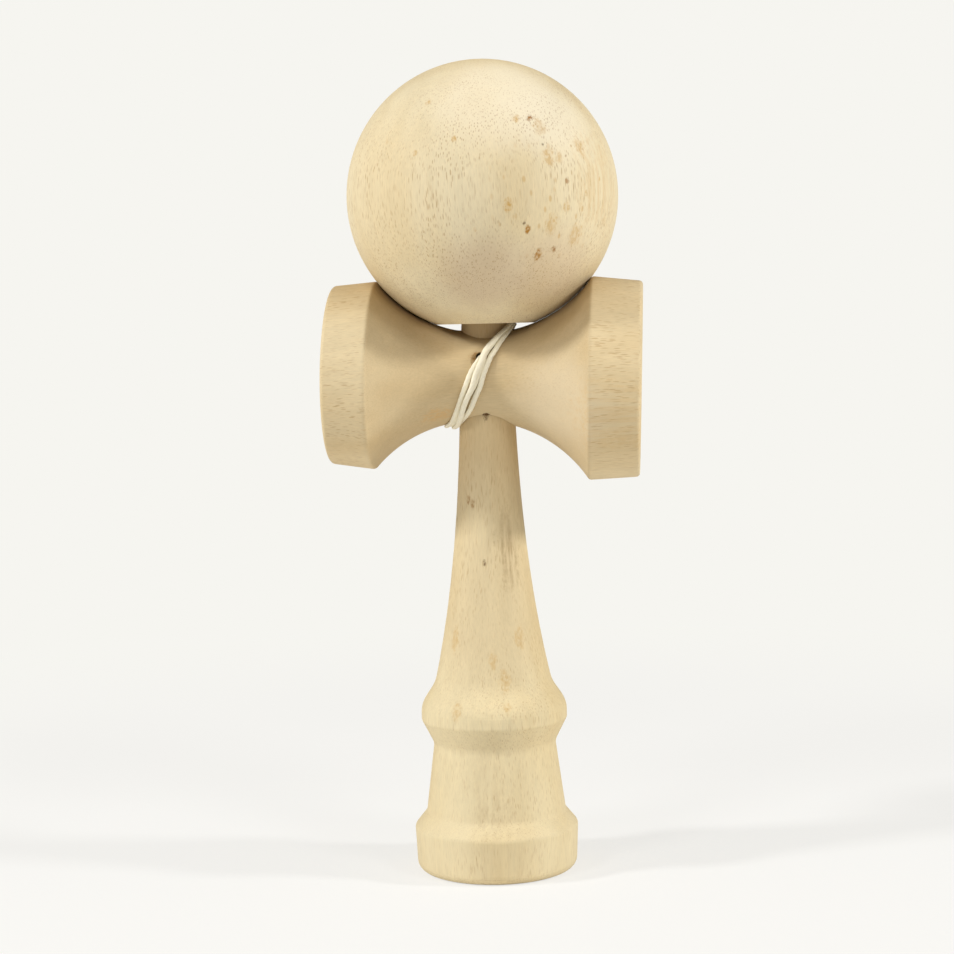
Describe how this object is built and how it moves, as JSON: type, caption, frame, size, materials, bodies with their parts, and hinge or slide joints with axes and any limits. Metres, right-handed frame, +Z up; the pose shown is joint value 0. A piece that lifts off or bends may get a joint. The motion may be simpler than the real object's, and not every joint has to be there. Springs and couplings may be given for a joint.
{
  "type": "cup and ball toy",
  "caption": "Turned wooden cup and ball toy: a spiked handle with a cup in its base, a cross piece with a cup at each end, and a bored ball on the spike, tied on by a string.",
  "frame": {"origin": "on the surface the toy stands on, on the handle's axis", "axes": "+Z up along the handle's axis, +X along the cross piece towards its larger cup, the string hole faces -Y"},
  "size_m": [0.0697, 0.0611, 0.1801],
  "materials": {
    "handle_wood": "plain sanded wood, unfinished",
    "cross_wood": "plain sanded wood, unfinished",
    "ball_wood": "plain sanded wood, unfinished",
    "bead_wood": "plain sanded wood, unfinished",
    "string": "twisted cotton"
  },
  "bodies": {
    "handle": {"handle": "handle_wood", "cross_cups": "cross_wood", "string_winding": "string", "handle_knot": "string", "string_rise": "string"},
    "string_end": {"stopper_bead": "bead_wood", "bead_knot": "string", "string_drop": "string"},
    "ball": {"ball": "ball_wood"}
  },
  "joints": [
    {"name": "ball_lift", "type": "slide", "parent": "handle", "child": "string_end", "axis": [0, 0, 1], "range_m": [0, 0.04], "deforming": ["string_rise"]},
    {"name": "ball_spin", "type": "hinge", "parent": "string_end", "child": "ball", "pos_m": [0, 0, 0.1495], "axis": [0, 0, 1], "continuous": true}
  ]
}
